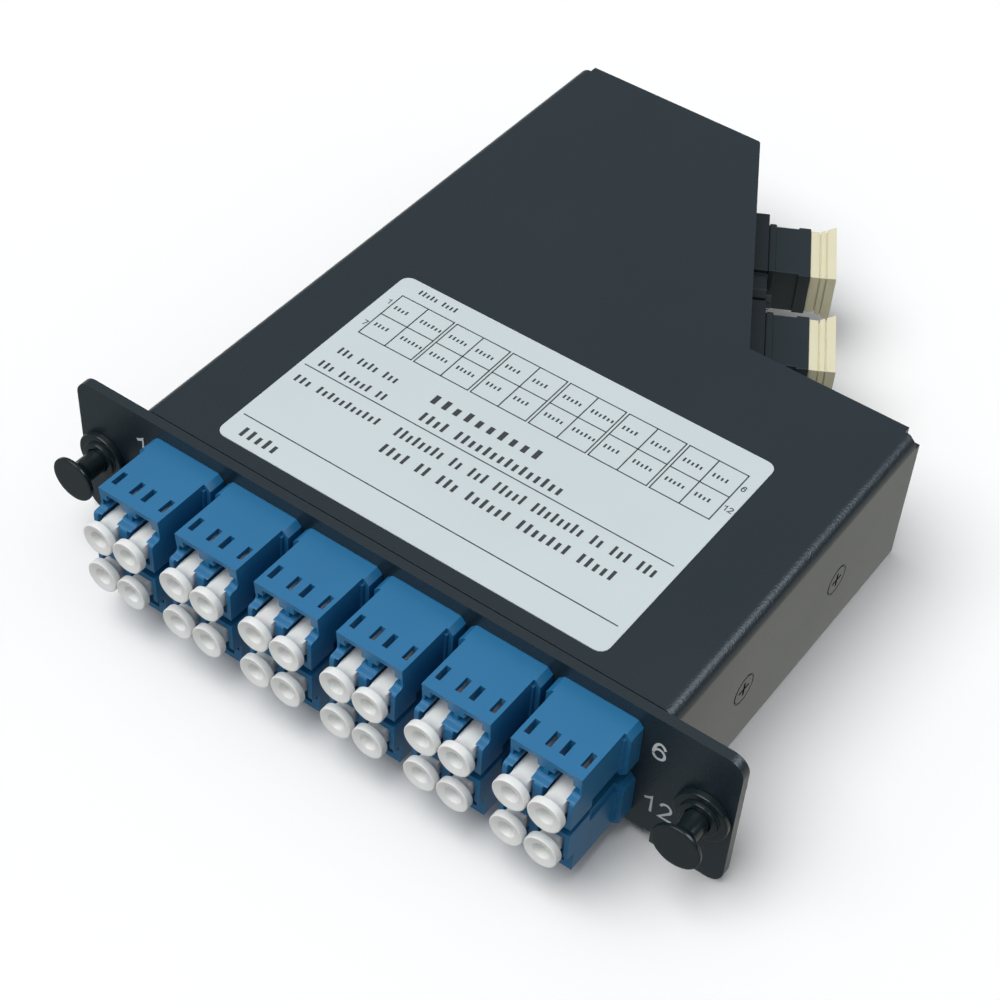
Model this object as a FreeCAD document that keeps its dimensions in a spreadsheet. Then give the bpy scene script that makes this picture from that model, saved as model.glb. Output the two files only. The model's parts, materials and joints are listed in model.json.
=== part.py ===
import FreeCAD, Part
import math
import os
import Sketcher

# A slim steel fibre cassette. The origin lies midway between the two latch pins, on the rear face of the
# front plate. X runs along the plate, Y runs rearwards into the cassette, Z is up.

doc = FreeCAD.newDocument("fibre_cassette")
sheet = doc.addObject("Spreadsheet::Sheet", "Sizes")

SIZES = {
    # folded base: front plate, floor, side flanges and rear walls
    "plate_height": 29, "plate_corner": 3, "plate_edge": 5, "latch_gap": 7.95, "body_margin": 3.45,
    "sheet_thick": 1.8, "bend_inside": 0.6, "left_depth": 128.8, "right_depth": 76.1, "rear_flat": 40.9,
    "mpo_wall_angle": 29.3, "flange_rise": 21, "fold_slit": 0.5, "plate_relief": 1.2,
    # cover
    "cover_thick": 1.2, "cover_bend": 2.5, "cover_step": 0.3, "cover_lift": 0.33, "cover_seam": 0.4,
    "cover_fit": 0.1, "cover_corner": 1, "cover_notch": 1.5,
    # cover screws
    "screw_first": 22.9, "screw_second": 52.3, "screw_level": -1.3, "screw_head": 2.95, "screw_shank": 1.45,
    "screw_reach": 6, "screw_fit": 0.05, "recess_arm": 1.5, "recess_slot": 0.55, "recess_deep": 0.9,
    # label
    "label_width": 76.2, "label_length": 50.8, "label_film": 0.15, "label_corner": 1.8, "label_shift": -0.95,
    "label_front": 3.3,
    # duplex adapters
    "column_pitch": 16.2, "row_spacing": 8.7, "row_lift": 0.65, "port_pitch": 6.25,
    "shell_width": 12.6, "shell_above": 6.7, "shell_below": 3.1, "shell_front": 14.2, "shell_lip": 15.85,
    "shell_rear": 13, "shell_toe": 3.6, "brow_inset": 0.3, "shoulder_rise": 2.5, "shoulder_bend": 0.7,
    "port_size": 4.7, "port_deep": 4, "channel_width": 3.3, "channel_above": 5.7, "wing_width": 5.4,
    "wing_low": 2.9, "wing_high": 4.2, "collar_thick": 3.3, "collar_margin": 1.3, "collar_cut": 1,
    "cutout_fit": 0.1, "window_width": 1, "window_length": 3, "window_front": 12.1, "window_offset": 1.88,
    "ferrule_bore": 0.65, "snap_step": 0.5, "snap_length": 2.6, "snap_height": 4, "heel_cut": 0.45,
    "heel_front": 10.4, "heel_level": 1.4, "shelf_step": 0.45, "shelf_length": 0.6, "shelf_drop": 1,
    # dust caps of the duplex ports
    "cap_proud": 2.75, "cap_gap": 0.25, "cap_head_length": 1.6, "neck_fit": 0.25, "cap_hole": 1.6,
    "cap_hole_deep": 3.2, "cap_neck_inset": 1.55, "plug_fit": 0.15, "plug_end_gap": 1.2,
    # latches
    "latch_hole": 3.05, "grommet_flange": 4.8, "grommet_thick": 1.3, "grommet_boss": 3.3, "boss_thick": 0.6,
    "grommet_fit": 0.05, "panel_pin": 2.9, "panel_pin_length": 4, "grommet_reach": 6.4, "grommet_slit": 0.7,
    "leg_inset": 0.2, "slit_start": 2.8, "latch_shank": 2.1, "shank_fit": 0.06, "knob_radius": 4.3,
    "knob_thick": 1.3, "knob_front": 8, "knob_flare": 0.6, "latch_tip": 2.6, "tip_cut": 0.8,
    # multi-fibre adapters on the slanted wall
    "mpo_shift": 2.65, "mpo_pitch": 26, "mpo_width": 13.6, "mpo_height": 9, "mpo_collar_width": 14.5,
    "mpo_collar_start": 9.2, "mpo_reach": 11.5, "mpo_inside": 12, "mpo_flange_width": 25.2,
    "mpo_flange_height": 7.4, "mpo_flange_thick": 3.6, "mpo_bore_width": 10.6, "mpo_bore_height": 6.4,
    "mpo_neck_step": 0.3, "mpo_neck_end": 4.9, "mpo_key_width": 3, "mpo_key_rise": 0.8,
    "mpo_screw_offset": 9.8, "mpo_screw": 1, "mpo_screw_fit": 0.1, "mpo_screw_head": 1.8,
    "mpo_screw_head_thick": 1.2, "mpo_screw_reach": 8,
    "mpo_cap_width": 13.8, "mpo_cap_height": 8.4, "mpo_cap_length": 4.7, "mpo_cap_flare": 0.9,
    "mpo_cap_flare_start": 1.6, "mpo_cap_seat": 0.05, "mpo_cap_fit": 0.15, "mpo_cap_plug": 7.5,
    "mpo_groove": 0.35, "mpo_groove_wide": 0.5, "mpo_groove_first": 2.1, "mpo_groove_second": 3.5,
    # connectors and fibres inside
    "inner_plug_fit": 0.1, "inner_plug_gap": 0.3, "inner_plug_length": 15.7, "inner_boot": 1.5,
    "inner_boot_length": 9, "mpo_plug_fit": 0.15, "mpo_plug_width": 12.4, "mpo_plug_height": 7.6,
    "mpo_plug_length": 13, "mpo_boot": 3, "mpo_boot_length": 9, "loom_thick": 2, "loom_tall": 3.2,
    "loom_gap": 5, "loom_inset": 9, "loom_bend": 12, "loom_end_bend": 7, "tail_size": 0.9,
}

row = 1
for name, number in SIZES.items():
    sheet.set("A%d" % row, name)
    sheet.set("B%d" % row, str(number))
    sheet.setAlias("B%d" % row, name)
    row += 1
doc.recompute()


class Size:
    """A number worked out from the sheet, carried together with the expression that gives it."""

    def __init__(self, number, text):
        self.number = number
        self.text = text

    def __add__(self, other):
        other = as_size(other)
        return Size(self.number + other.number, "(%s + %s)" % (self.text, other.text))

    def __sub__(self, other):
        other = as_size(other)
        return Size(self.number - other.number, "(%s - %s)" % (self.text, other.text))

    def __mul__(self, other):
        other = as_size(other)
        return Size(self.number * other.number, "(%s * %s)" % (self.text, other.text))

    def __truediv__(self, other):
        other = as_size(other)
        return Size(self.number / other.number, "(%s / %s)" % (self.text, other.text))

    def __neg__(self):
        return Size(-self.number, "(-1 * %s)" % self.text)

    def __radd__(self, other):
        return as_size(other) + self

    def __rsub__(self, other):
        return as_size(other) - self

    def __rmul__(self, other):
        return as_size(other) * self


def as_size(value):
    if isinstance(value, Size):
        return value
    return Size(float(value), repr(float(value)))


def cell(name):
    return Size(float(sheet.get(name)), "Sizes." + name)


def sine(angle):
    return Size(math.sin(math.radians(angle.number)), "sin(%s * 1 deg)" % angle.text)


def cosine(angle):
    return Size(math.cos(math.radians(angle.number)), "cos(%s * 1 deg)" % angle.text)


def bind(thing, prop, value):
    thing.setExpression(prop, as_size(value).text)


# ---- modelling helpers --------------------------------------------------------------------------------

def new_body(label):
    body = doc.addObject("PartDesign::Body", label)
    body.Label = label
    return body


def origin_feature(body, role):
    return next(f for f in body.Origin.OriginFeatures if f.Role == role)


class Drawing:
    """A sketch on one of its body's own planes; every point is tied to the sheet by an expression."""

    def __init__(self, body, plane, lift=0, shift=0, turn=None):
        self.body = body
        self.sketch = body.newObject("Sketcher::SketchObject", "outline")
        self.sketch.AttachmentSupport = [(origin_feature(body, plane), "")]
        self.sketch.MapMode = "FlatFace"
        if turn is not None:
            axis, angle = turn
            self.sketch.AttachmentOffset = FreeCAD.Placement(
                FreeCAD.Vector(0, 0, 0), FreeCAD.Rotation(axis, as_size(angle).number))
            bind(self.sketch, "AttachmentOffset.Rotation.Angle", angle)
        self.place("x", shift)
        self.place("z", lift)

    def place(self, axis, value):
        bind(self.sketch, "AttachmentOffset.Base." + axis, value)
        return self

    def tie(self, kind, items, value):
        value = as_size(value)
        index = self.sketch.addConstraint(Sketcher.Constraint(kind, *items, value.number))
        self.sketch.setExpression("Constraints[%d]" % index, value.text)

    def ring(self, points):
        """A closed outline through the points, in order."""
        points = [(as_size(u), as_size(v)) for u, v in points]
        spots = [FreeCAD.Vector(u.number, v.number, 0) for u, v in points]
        first = self.sketch.GeometryCount
        count = len(points)
        for i in range(count):
            self.sketch.addGeometry(Part.LineSegment(spots[i], spots[(i + 1) % count]))
        for i in range(count):
            following = first + (i + 1) % count
            self.sketch.addConstraint(Sketcher.Constraint("Coincident", first + i, 2, following, 1))
        for i, (u, v) in enumerate(points):
            self.tie("DistanceX", (-1, 1, first + i, 1), u)
            self.tie("DistanceY", (-1, 1, first + i, 1), v)
        return self

    def box(self, left, right, low, high):
        return self.ring([(left, low), (right, low), (right, high), (left, high)])

    def disc(self, u, v, radius):
        u, v, radius = as_size(u), as_size(v), as_size(radius)
        centre = FreeCAD.Vector(u.number, v.number, 0)
        index = self.sketch.addGeometry(Part.Circle(centre, FreeCAD.Vector(0, 0, 1), radius.number))
        self.tie("DistanceX", (-1, 1, index, 3), u)
        self.tie("DistanceY", (-1, 1, index, 3), v)
        self.tie("Radius", (index,), radius)
        return self

    def round_ring(self, u, v, radius, sides=8):
        """A small or often repeated round feature, drawn with a few flat sides to keep the model light."""
        u, v, radius = as_size(u), as_size(v), as_size(radius)
        points = []
        for i in range(sides):
            angle = math.pi * (2 * i + 1) / sides
            points.append((u + radius * math.cos(angle), v + radius * math.sin(angle)))
        return self.ring(points)

    def feature(self, kind, volume_sign, length, reverse, middle):
        before = self.body.Shape.Volume if self.body.Tip else 0.0
        made = self.body.newObject("PartDesign::" + kind, kind.lower())
        made.Profile = self.sketch
        bind(made, "Length", length)
        made.Reversed = reverse
        made.Midplane = middle
        doc.recompute()
        change = self.body.Shape.Volume - before
        if change * volume_sign <= 0:
            raise RuntimeError("%s of %s changes nothing" % (kind, self.body.Label))
        return made

    def pad(self, length, reverse=False, middle=False):
        """Material along the sketch's own normal: +Z on XY, -Y on XZ, +X on YZ."""
        return self.feature("Pad", 1, length, reverse, middle)

    def cut(self, length, reverse=False, middle=False):
        """A pocket against the sketch's own normal: -Z on XY, +Y on XZ, -X on YZ."""
        return self.feature("Pocket", -1, length, reverse, middle)


def bend(u, v, radius, start, turn, steps=3):
    """Points of an outline's rounded corner: round the centre (u, v), from a start angle through a turn."""
    angles = [math.radians(start + turn * i / steps) for i in range(steps + 1)]
    return [(u + radius * math.cos(angle), v + radius * math.sin(angle)) for angle in angles]


def edges_where(feature, test):
    return ["Edge%d" % (i + 1) for i, edge in enumerate(feature.Shape.Edges) if test(edge)]


def round_edges(body, radius, test, kind="Fillet"):
    tip = body.Tip
    names = edges_where(tip, test)
    if not names:
        raise RuntimeError("no edges to finish on " + body.Label)
    made = body.newObject("PartDesign::" + kind, kind.lower())
    made.Base = (tip, names)
    bind(made, "Radius" if kind == "Fillet" else "Size", radius)
    doc.recompute()
    return made


def ends(edge):
    return [vertex.Point for vertex in edge.Vertexes]


def straight_along(edge, axis):
    """True if the edge is a straight one along the axis (0 for X, 1 for Y, 2 for Z)."""
    points = ends(edge)
    if len(points) != 2 or not isinstance(edge.Curve, (Part.Line, Part.LineSegment)):
        return False
    return all(abs(points[0][k] - points[1][k]) < 1e-6 for k in range(3) if k != axis)


def at_level(edge, axis, value):
    return all(abs(point[axis] - value.number) < 1e-4 for point in ends(edge))


def copies(pattern, label, places):
    """One node from a pattern piece: a solid for each (x, y, z, axis, angle) in places."""
    made = []
    for x, y, z, axis, angle in places:
        part = doc.addObject("Part::Compound", label if len(places) == 1 else label + "_piece")
        part.Links = [pattern]
        part.Placement = FreeCAD.Placement(
            FreeCAD.Vector(as_size(x).number, as_size(y).number, as_size(z).number),
            FreeCAD.Rotation(axis, as_size(angle).number))
        for prop, value in (("x", x), ("y", y), ("z", z)):
            bind(part, "Placement.Base." + prop, value)
        bind(part, "Placement.Rotation.Angle", angle)
        made.append(part)
    if len(made) == 1:
        group = made[0]
    else:
        group = doc.addObject("Part::Compound", label)
        group.Links = made
    group.Label = label
    nodes.append(group)
    return group


nodes = []
UP = FreeCAD.Vector(0, 0, 1)
ALONG_Y = FreeCAD.Vector(0, 1, 0)

# ---- shared sizes ---------------------------------------------------------------------------------------

plate_low = -(cell("plate_height") / 2)
sheet_thick = cell("sheet_thick")
floor_top = plate_low + sheet_thick
cover_half = cell("column_pitch") * 3 + cell("body_margin")
latch_half = cover_half + cell("latch_gap")
plate_half = latch_half + cell("plate_edge")
base_half = cover_half - cell("cover_thick") - cell("cover_fit")
left_depth = cell("left_depth")
right_depth = cell("right_depth")
slant = cell("mpo_wall_angle")
corner_m = cell("rear_flat") - cover_half
corner_n = corner_m + (left_depth - right_depth) * sine(slant) / cosine(slant)
cover_top = -plate_low - cell("cover_step")
wall_top = cover_top - cell("cover_thick") - cell("cover_fit")
flange_top = plate_low + cell("flange_rise")
screw_spots = [cell("screw_first"), cell("screw_second")]
screw_level = cell("screw_level")
sink_depth = cell("cover_thick") - cell("screw_fit")
plate_front = -sheet_thick
mpo_middle = (left_depth - right_depth) / cosine(slant) / 2 + cell("mpo_shift")
mpo_stations = [mpo_middle - cell("mpo_pitch") / 2, mpo_middle + cell("mpo_pitch") / 2]

columns = [cell("column_pitch") * (i - 2.5) for i in range(6)]
upper_ports = cell("row_lift") + cell("row_spacing") / 2
lower_ports = cell("row_lift") - cell("row_spacing") / 2
port_half = cell("port_pitch") / 2


# ---- base: one folded steel sheet -----------------------------------------------------------------------

def build_base():
    body = new_body("base_tray")
    slip = sheet_thick * (1 - sine(slant)) / cosine(slant)
    rear_inside = left_depth - sheet_thick
    short_inside = right_depth - sheet_thick
    inner_half = base_half - sheet_thick
    bend_outside = cell("bend_inside") + sheet_thick
    Drawing(body, "XY_Plane", plate_low).ring([
        (-base_half, plate_front), (base_half, plate_front), (base_half, right_depth),
        (corner_n, right_depth), (corner_m, left_depth), (-base_half, left_depth),
    ]).pad(wall_top - plate_low)
    round_edges(body, bend_outside, lambda e: at_level(e, 2, plate_low))
    Drawing(body, "XY_Plane", wall_top).ring([
        (-inner_half, 0), (inner_half, 0), (inner_half, short_inside),
        (corner_n - slip, short_inside), (corner_m - slip, rear_inside), (-inner_half, rear_inside),
    ]).cut(wall_top - floor_top)
    round_edges(body, cell("bend_inside"), lambda e: at_level(e, 2, floor_top))
    # the side flanges are lower than the rear walls and stop short of the folds next to them
    trim = Drawing(body, "XY_Plane", wall_top)
    trim.box(-base_half - 1, -inner_half, 0, rear_inside)
    trim.box(inner_half, base_half + 1, 0, short_inside)
    trim.cut(wall_top - flange_top)
    slits = Drawing(body, "XY_Plane", wall_top)
    relief = cell("plate_relief")
    slit = cell("fold_slit")
    slits.box(-base_half - 1, -inner_half + slit, 0, relief)
    slits.box(inner_half - slit, base_half + 1, 0, relief)
    slits.box(-base_half - 1, -inner_half + slit, rear_inside - slit, rear_inside)
    slits.box(inner_half - slit, base_half + 1, short_inside - slit, short_inside)
    slits.cut(wall_top - plate_low)
    # the rear walls' upper corners clear the cover's inner bends
    round_edges(body, cell("cover_bend") - cell("cover_thick"), lambda e: straight_along(e, 1) and at_level(
        e, 2, wall_top) and abs(abs(ends(e)[0].x) - base_half.number) < 1e-4)
    # mitred gaps at the two corners of the slanted wall
    for x, y in ((corner_m, left_depth), (corner_n, right_depth)):
        gap = Drawing(body, "XY_Plane", wall_top, x, (UP, 45 + slant / 2))
        gap.place("y", y)
        gap.box(-2 * sheet_thick, 1, -(slit / 2), slit / 2)
        gap.cut(wall_top - plate_low)
    # front plate: full width above the fold, its two ears reaching right down beside it
    ear_start = base_half + relief
    Drawing(body, "XZ_Plane").ring([
        (-plate_half, plate_low), (-ear_start, plate_low), (-ear_start, plate_low + bend_outside),
        (ear_start, plate_low + bend_outside), (ear_start, plate_low), (plate_half, plate_low),
        (plate_half, -plate_low), (-plate_half, -plate_low),
    ]).pad(sheet_thick)
    round_edges(body, cell("plate_corner"), lambda e: straight_along(e, 1) and abs(
        abs(ends(e)[0].x) - plate_half.number) < 1e-4 and abs(ends(e)[0].y - ends(e)[1].y) < 3)
    # windows for the duplex adapters, holes for the latches
    windows = Drawing(body, "XZ_Plane", -plate_front)
    for z, flip in ((upper_ports, 1), (lower_ports, -1)):
        top = z + (cell("shell_above") + cell("cutout_fit")) * flip
        low = z - (cell("shell_below") + cell("cutout_fit")) * flip
        reach = cell("shell_width") / 2 + cell("cutout_fit")
        for x in columns:
            windows.box(x - reach, x + reach, low if flip > 0 else top, top if flip > 0 else low)
    for side in (-1, 1):
        windows.round_ring(latch_half * side, 0, cell("latch_hole"), 16)
    windows.cut(sheet_thick)
    # threaded holes for the cover screws
    holes = Drawing(body, "YZ_Plane")
    for y in screw_spots:
        holes.round_ring(y, screw_level, cell("screw_shank") + cell("screw_fit"))
    holes.cut(base_half * 2 + 2, middle=True)
    # windows and screw holes for the multi-fibre adapters
    slot = Drawing(body, "XZ_Plane", -left_depth, corner_m, (ALONG_Y, slant - 90))
    for station in mpo_stations:
        reach = cell("mpo_width") / 2 + cell("cutout_fit")
        rise = cell("mpo_height") / 2 + cell("cutout_fit")
        slot.box(station - reach, station + reach, -rise, rise)
        for side in (-1, 1):
            slot.round_ring(
                station + cell("mpo_screw_offset") * side, 0, cell("mpo_screw") + cell("screw_fit"))
    slot.cut(sheet_thick + 0.5, reverse=True)
    nodes.append(body)


# ---- cover: top with both sides folded down ---------------------------------------------------------------

def build_cover():
    body = new_body("top_cover")
    top = cover_top
    low = plate_low + cell("cover_lift")
    thick = cell("cover_thick")
    seam = cell("cover_seam")
    Drawing(body, "XY_Plane", low).ring([
        (-cover_half, seam), (cover_half, seam), (cover_half, right_depth),
        (corner_n, right_depth), (corner_m, left_depth), (-cover_half, left_depth),
    ]).pad(top - low)
    round_edges(body, cell("cover_bend"), lambda e: straight_along(e, 1) and at_level(e, 2, top))
    inside = cover_half - thick
    Drawing(body, "XY_Plane", low).box(-inside, inside, -1, left_depth + 1).cut(
        top - low - thick, reverse=True)
    round_edges(body, cell("cover_bend") - thick,
                lambda e: straight_along(e, 1) and at_level(e, 2, top - thick))
    notches = Drawing(body, "XY_Plane", top)
    bend = cell("cover_bend")
    notches.box(cover_half - bend, cover_half + 1, right_depth - cell("cover_notch"), right_depth + 1)
    notches.box(-cover_half - 1, -cover_half + bend, left_depth - cell("cover_notch"), left_depth + 1)
    notches.cut(bend)
    round_edges(body, cell("cover_corner"), lambda e: straight_along(e, 2) and abs(
        ends(e)[0].x - corner_m.number) < 1e-3)
    # countersunk holes: a plain hole through each side, then a bevel round its mouth
    small = cell("screw_head") + cell("screw_fit") - sink_depth
    holes = Drawing(body, "YZ_Plane")
    for y in screw_spots:
        holes.round_ring(y, screw_level, small, 12)
    holes.cut(cover_half * 2 + 2, middle=True)
    mouth = small.number + 0.1
    round_edges(body, sink_depth, lambda e: abs(abs(ends(e)[0].x) - cover_half.number) < 1e-4 and any(
        math.hypot(ends(e)[0].y - y.number, ends(e)[0].z - screw_level.number) < mouth
        for y in screw_spots) and abs(ends(e)[0].x - ends(e)[1].x) < 1e-4, "Chamfer")
    nodes.append(body)


def build_label():
    body = new_body("label_sticker")
    radius = cell("label_corner")
    reach = cell("label_width") / 2 - radius
    left = cell("label_shift") - reach
    right = cell("label_shift") + reach
    front = cell("label_front") + radius
    rear = cell("label_front") + cell("label_length") - radius
    Drawing(body, "XY_Plane", cover_top).ring([
        *bend(left, front, radius, 180, 90, 4), *bend(right, front, radius, 270, 90, 4),
        *bend(right, rear, radius, 0, 90, 4), *bend(left, rear, radius, 90, 90, 4),
    ]).pad(cell("label_film"))
    nodes.append(body)


# ---- duplex adapter: moulded housing with two ports each way --------------------------------------------

def build_duplex_adapters():
    body = new_body("duplex_adapter_pattern")
    above = cell("shell_above")
    below = -cell("shell_below")
    lip = -cell("shell_lip")
    brow = -cell("shell_front")
    toe = -cell("shell_toe")
    heel_front = -cell("heel_front")
    # the side walls' front edges drop from the brow, then sweep forward over a shoulder to the lip
    shoulder = cell("shoulder_rise")
    sweep = cell("shoulder_bend")
    drop = brow + cell("brow_inset")
    Drawing(body, "YZ_Plane").ring([
        (lip, toe), (heel_front, toe), (heel_front, below), (cell("shell_rear"), below),
        (cell("shell_rear"), above), (brow, above),
        *bend(drop - sweep, shoulder + sweep, sweep, 0, -90),
        *bend(lip + sweep, shoulder - sweep, sweep, 90, 90),
    ]).pad(cell("shell_width"), middle=True)
    # collar that seats on the plate, with a narrow shelf in front of it on each side
    shell_half = cell("shell_width") / 2
    half = shell_half + cell("collar_margin")
    cut = cell("collar_cut")
    Drawing(body, "XZ_Plane").ring([
        (-half, below + cut), (-half + cut, below), (half - cut, below), (half, below + cut),
        (half, above - cut), (half - cut, above), (-half + cut, above), (-half, above - cut),
    ]).pad(cell("collar_thick"))
    heel_top = -cell("heel_level")
    shelf = shell_half + cell("shelf_step")
    Drawing(body, "XZ_Plane", cell("collar_thick")).box(
        -shelf, shelf, heel_top, above - cell("shelf_drop")).pad(cell("shelf_length"))
    # snaps that catch behind the plate
    snap_mid = (above + below) / 2
    snap_rise = cell("snap_height") / 2
    for side in (-1, 1):
        tooth = Drawing(body, "XY_Plane", snap_mid)
        start = sheet_thick + 0.1
        tooth.ring([
            (shell_half * side, start), ((shell_half + cell("snap_step")) * side, start),
            (shell_half * side, start + cell("snap_length")),
        ])
        tooth.pad(snap_rise * 2, middle=True)
    # heel cut along the lower part of each side, behind the deeper front
    heel = Drawing(body, "XZ_Plane", cell("heel_front"))
    depth = cell("heel_cut")
    heel.box(-shell_half - 1, -shell_half + depth, below - 1, heel_top)
    heel.box(shell_half - depth, shell_half + 1, below - 1, heel_top)
    heel.cut(cell("heel_front") - cell("collar_thick"))
    # ports: plain ones to the rear, and each front one with a narrower channel for the connector's latch
    port = cell("port_size") / 2
    channel = cell("channel_width") / 2
    mouth = Drawing(body, "XZ_Plane", cell("port_deep"))
    rear_mouth = Drawing(body, "XZ_Plane", -cell("port_deep"))
    for side in (-1, 1):
        x = port_half * side
        rear_mouth.box(x - port, x + port, -port, port)
        mouth.ring([
            (x - port, -port), (x + port, -port), (x + port, port), (x + channel, port),
            (x + channel, cell("channel_above")), (x - channel, cell("channel_above")),
            (x - channel, port), (x - port, port),
        ])
    mouth.cut(20, reverse=True)
    rear_mouth.cut(20)
    # wider slots at the channels' mouths for the shoulders of the connector's latch
    wing = cell("wing_width") / 2
    slots = Drawing(body, "XZ_Plane", cell("window_front"))
    for side in (-1, 1):
        slots.box(port_half * side - wing, port_half * side + wing, cell("wing_low"), cell("wing_high"))
    slots.cut(20, reverse=True)
    # latch windows in the roof, over both shoulders of each port
    window = Drawing(body, "XY_Plane", above)
    front = -cell("window_front")
    reach = cell("window_width") / 2
    for side in (-1, 1):
        for shoulder in (-1, 1):
            x = port_half * side + cell("window_offset") * shoulder
            window.box(x - reach, x + reach, front, front + cell("window_length"))
    window.cut(above - port + 0.2)
    bore = Drawing(body, "XZ_Plane")
    for side in (-1, 1):
        bore.round_ring(port_half * side, 0, cell("ferrule_bore"), 6)
    bore.cut(cell("port_deep") * 2 + 1, middle=True)
    number = 1
    for z, angle in ((upper_ports, 0), (lower_ports, 180)):
        for x in columns:
            copies(body, "lc_adapter_%02d" % number, [(x, plate_front, z, ALONG_Y, angle)])
            number += 1


def build_dust_caps():
    body = new_body("dust_cap_pattern")
    front = cell("shell_lip") + cell("cap_proud")
    head = (cell("port_pitch") - cell("cap_gap")) / 2
    neck = cell("port_size") / 2 - cell("neck_fit")
    flare = head - neck
    flare_end = front - cell("cap_head_length") - flare
    plug = cell("shell_lip") - cell("cap_neck_inset")
    half = cell("port_size") / 2 - cell("plug_fit")
    Drawing(body, "XZ_Plane", flare_end).round_ring(0, 0, head, 10).pad(front - flare_end)
    round_edges(body, flare, lambda e: at_level(e, 1, -flare_end), "Chamfer")
    Drawing(body, "XZ_Plane", plug).round_ring(0, 0, neck, 10).pad(flare_end - plug)
    Drawing(body, "XZ_Plane", plug).box(-half, half, -half, half).pad(
        plug - cell("port_deep") - cell("plug_end_gap"), reverse=True)
    Drawing(body, "XZ_Plane", front).round_ring(0, 0, cell("cap_hole")).cut(cell("cap_hole_deep"))
    number = 1
    for z in (upper_ports, lower_ports):
        for x in columns:
            for side in (-1, 1):
                copies(body, "lc_dust_cap_%02d" % number,
                       [(x + port_half * side, plate_front, z, ALONG_Y, 0)])
                number += 1


# ---- push-pull latches ------------------------------------------------------------------------------------

def build_latches():
    grommet = new_body("latch_grommet_pattern")
    face = cell("grommet_thick") + sheet_thick
    Drawing(grommet, "XZ_Plane", sheet_thick).round_ring(0, 0, cell("grommet_flange"), 20).pad(
        cell("grommet_thick"))
    Drawing(grommet, "XZ_Plane", face).round_ring(0, 0, cell("grommet_boss"), 20).pad(cell("boss_thick"))
    Drawing(grommet, "XZ_Plane").round_ring(0, 0, cell("latch_hole") - cell("grommet_fit"), 16).pad(
        sheet_thick)
    Drawing(grommet, "XZ_Plane").disc(0, 0, cell("panel_pin")).pad(cell("panel_pin_length"), reverse=True)
    legs = cell("grommet_reach") - cell("panel_pin_length")
    Drawing(grommet, "XZ_Plane", -cell("panel_pin_length")).round_ring(
        0, 0, cell("panel_pin") - cell("leg_inset"), 12).pad(legs, reverse=True)
    bore = cell("latch_shank") + cell("shank_fit")
    Drawing(grommet, "XZ_Plane").round_ring(0, 0, bore, 12).cut(60, middle=True)
    slit = cell("grommet_slit") / 2
    Drawing(grommet, "XZ_Plane", -cell("slit_start")).ring([
        (-5, -slit), (-slit, -slit), (-slit, -5), (slit, -5), (slit, -slit), (5, -slit),
        (5, slit), (slit, slit), (slit, 5), (-slit, 5), (-slit, slit), (-5, slit),
    ]).cut(10)

    plunger = new_body("latch_plunger_pattern")
    front = sheet_thick + cell("knob_front")
    back = front - cell("knob_thick")
    tip = cell("latch_tip")
    Drawing(plunger, "XZ_Plane", back).round_ring(0, 0, cell("knob_radius"), 20).pad(cell("knob_thick"))
    neck = cell("knob_flare")
    Drawing(plunger, "XZ_Plane", back - neck).round_ring(0, 0, cell("latch_shank") + neck, 12).pad(neck)
    round_edges(plunger, neck * 0.98, lambda e: at_level(e, 1, neck - back), "Chamfer")
    Drawing(plunger, "XZ_Plane", -tip).round_ring(0, 0, cell("latch_shank"), 12).pad(back - neck + tip)
    round_edges(plunger, cell("tip_cut"), lambda e: at_level(e, 1, tip), "Chamfer")
    for name, side in (("left", -1), ("right", 1)):
        spot = [(latch_half * side, 0, 0, ALONG_Y, 0)]
        copies(grommet, "latch_grommet_" + name, spot)
        copies(plunger, "latch_plunger_" + name, spot)


def build_cover_screws():
    screw = new_body("cover_screw_pattern")
    sunk = cell("cover_thick")
    Drawing(screw, "XZ_Plane").round_ring(0, 0, cell("screw_head"), 12).pad(sunk, reverse=True)
    round_edges(screw, sink_depth, lambda e: at_level(e, 1, sunk), "Chamfer")
    Drawing(screw, "XZ_Plane", -sunk).round_ring(0, 0, cell("screw_shank")).pad(
        cell("screw_reach") - sunk, reverse=True)
    arm = cell("recess_arm")
    slot = cell("recess_slot") / 2
    Drawing(screw, "XZ_Plane").ring([
        (-arm, -slot), (-slot, -slot), (-slot, -arm), (slot, -arm), (slot, -slot), (arm, -slot),
        (arm, slot), (slot, slot), (slot, arm), (-slot, arm), (-slot, slot), (-arm, slot),
    ]).cut(cell("recess_deep"))
    places = []
    for side in (-1, 1):
        for y in screw_spots:
            places.append((cover_half * side, y, screw_level, UP, 90 * side))
    copies(screw, "cover_screws", places)


# ---- multi-fibre adapters on the slanted wall -------------------------------------------------------------
# Each piece is drawn with X along the wall and Y straight out of it, then turned into place.

def wall_spot(station):
    """An adapter's own origin: on the wall's outer face, the station's length from the wall's left end."""
    x = corner_m + station * sine(slant)
    y = left_depth - station * cosine(slant)
    return (x, y, 0, UP, slant - 90)


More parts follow.
